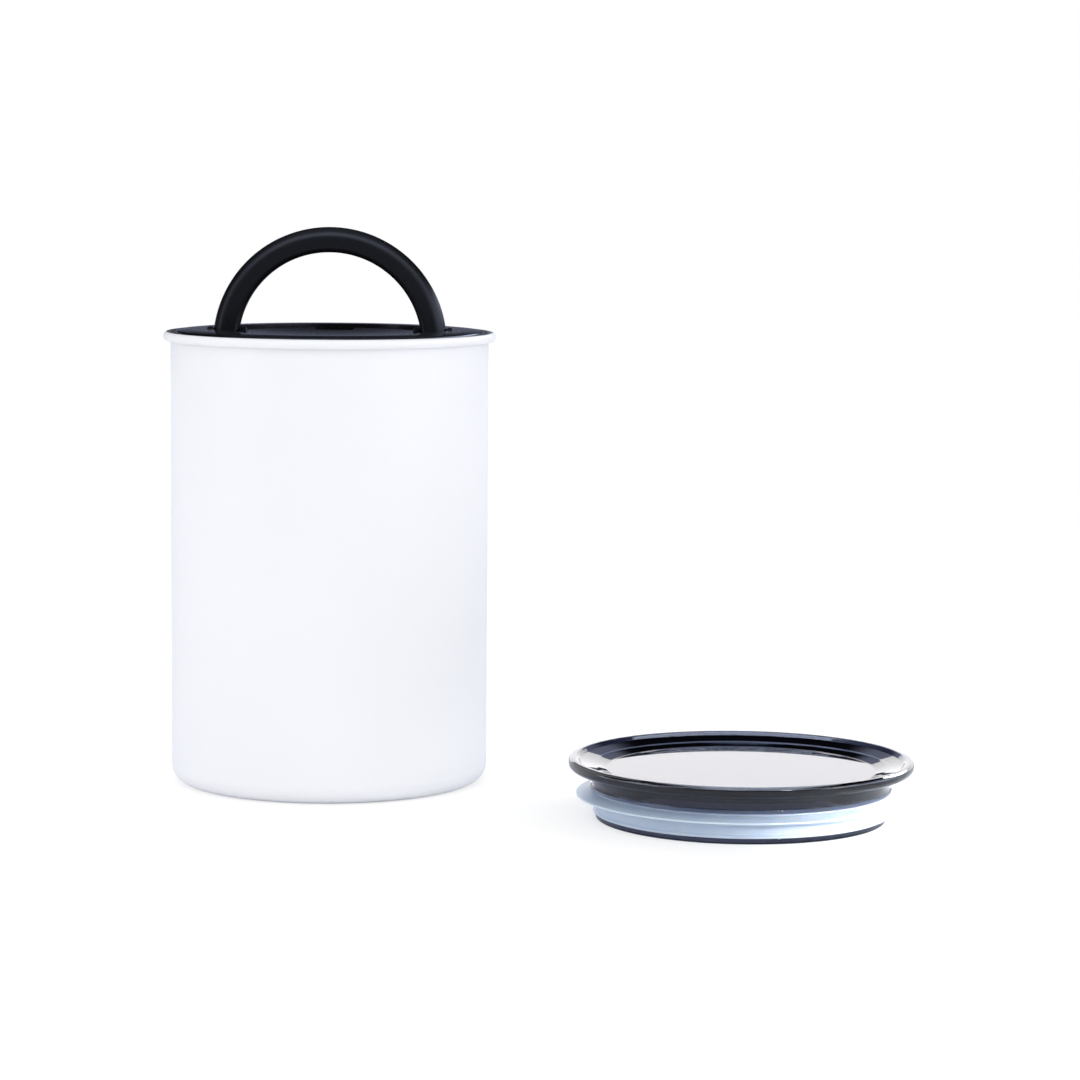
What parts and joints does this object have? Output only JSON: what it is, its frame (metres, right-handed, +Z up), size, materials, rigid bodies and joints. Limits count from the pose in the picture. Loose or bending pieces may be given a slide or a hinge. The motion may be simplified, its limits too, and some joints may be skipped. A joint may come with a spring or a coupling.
{
  "type": "coffee canister",
  "caption": "Steel coffee canister with a plunging inner lid, a fold-down handle that works its valve, and a clear outer lid beside it.",
  "frame": {"origin": "centre of the canister's foot ring, on the surface it stands on", "axes": "+Z up along the canister's axis, +X to the side where the outer lid lies, -Y to the front"},
  "size_m": [0.2897, 0.2072, 0.2189],
  "materials": {
    "coated_steel": "matte white powder coat outside, bare stainless steel inside",
    "black_plastic": "fine moulded texture",
    "handle_plastic": "soft-touch satin",
    "black_silicone": "matte",
    "steel": "plain stainless",
    "clear_plastic": "smoke-tinted clear, polished",
    "milky_silicone": "translucent, satin"
  },
  "bodies": {
    "canister": {"canister_shell": "coated_steel"},
    "inner_lid": {"inner_lid_cover": "black_plastic", "inner_lid_base": "black_plastic", "wiper_seal": "black_silicone", "pivot_pin_left": "steel", "pivot_pin_right": "steel", "valve_spring": "steel", "valve_guard": "black_plastic", "base_screw_1": "steel", "base_screw_2": "steel", "base_screw_3": "steel", "base_screw_4": "steel", "base_screw_5": "steel", "base_screw_6": "steel"},
    "handle": {"handle": "handle_plastic"},
    "valve": {"valve_yoke": "black_plastic", "valve_stopper": "black_silicone"},
    "outer_lid": {"outer_lid": "clear_plastic", "outer_lid_seal": "milky_silicone"}
  },
  "joints": [
    {"name": "inner_lid_slide", "type": "slide", "parent": "canister", "child": "inner_lid", "axis": [0, 0, 1], "range_m": [-0.145, 0.06]},
    {"name": "handle_fold", "type": "hinge", "parent": "inner_lid", "child": "handle", "pos_m": [0, 0, 0.1729], "axis": [-1, 0, 0], "range_deg": [0, 90]},
    {"name": "valve_lift", "type": "slide", "parent": "inner_lid", "child": "valve", "axis": [0, 0, 1], "range_m": [0, 0.002], "deforming": ["valve_spring"]},
    {"name": "outer_lid_lift", "type": "slide", "parent": "canister", "child": "outer_lid", "axis": [0, 0, 1], "range_m": [0, 0.2]}
  ],
  "couplings": [
    {"joint": "valve_lift", "follows": "handle_fold", "m_per_rad": 0.0012732}
  ]
}
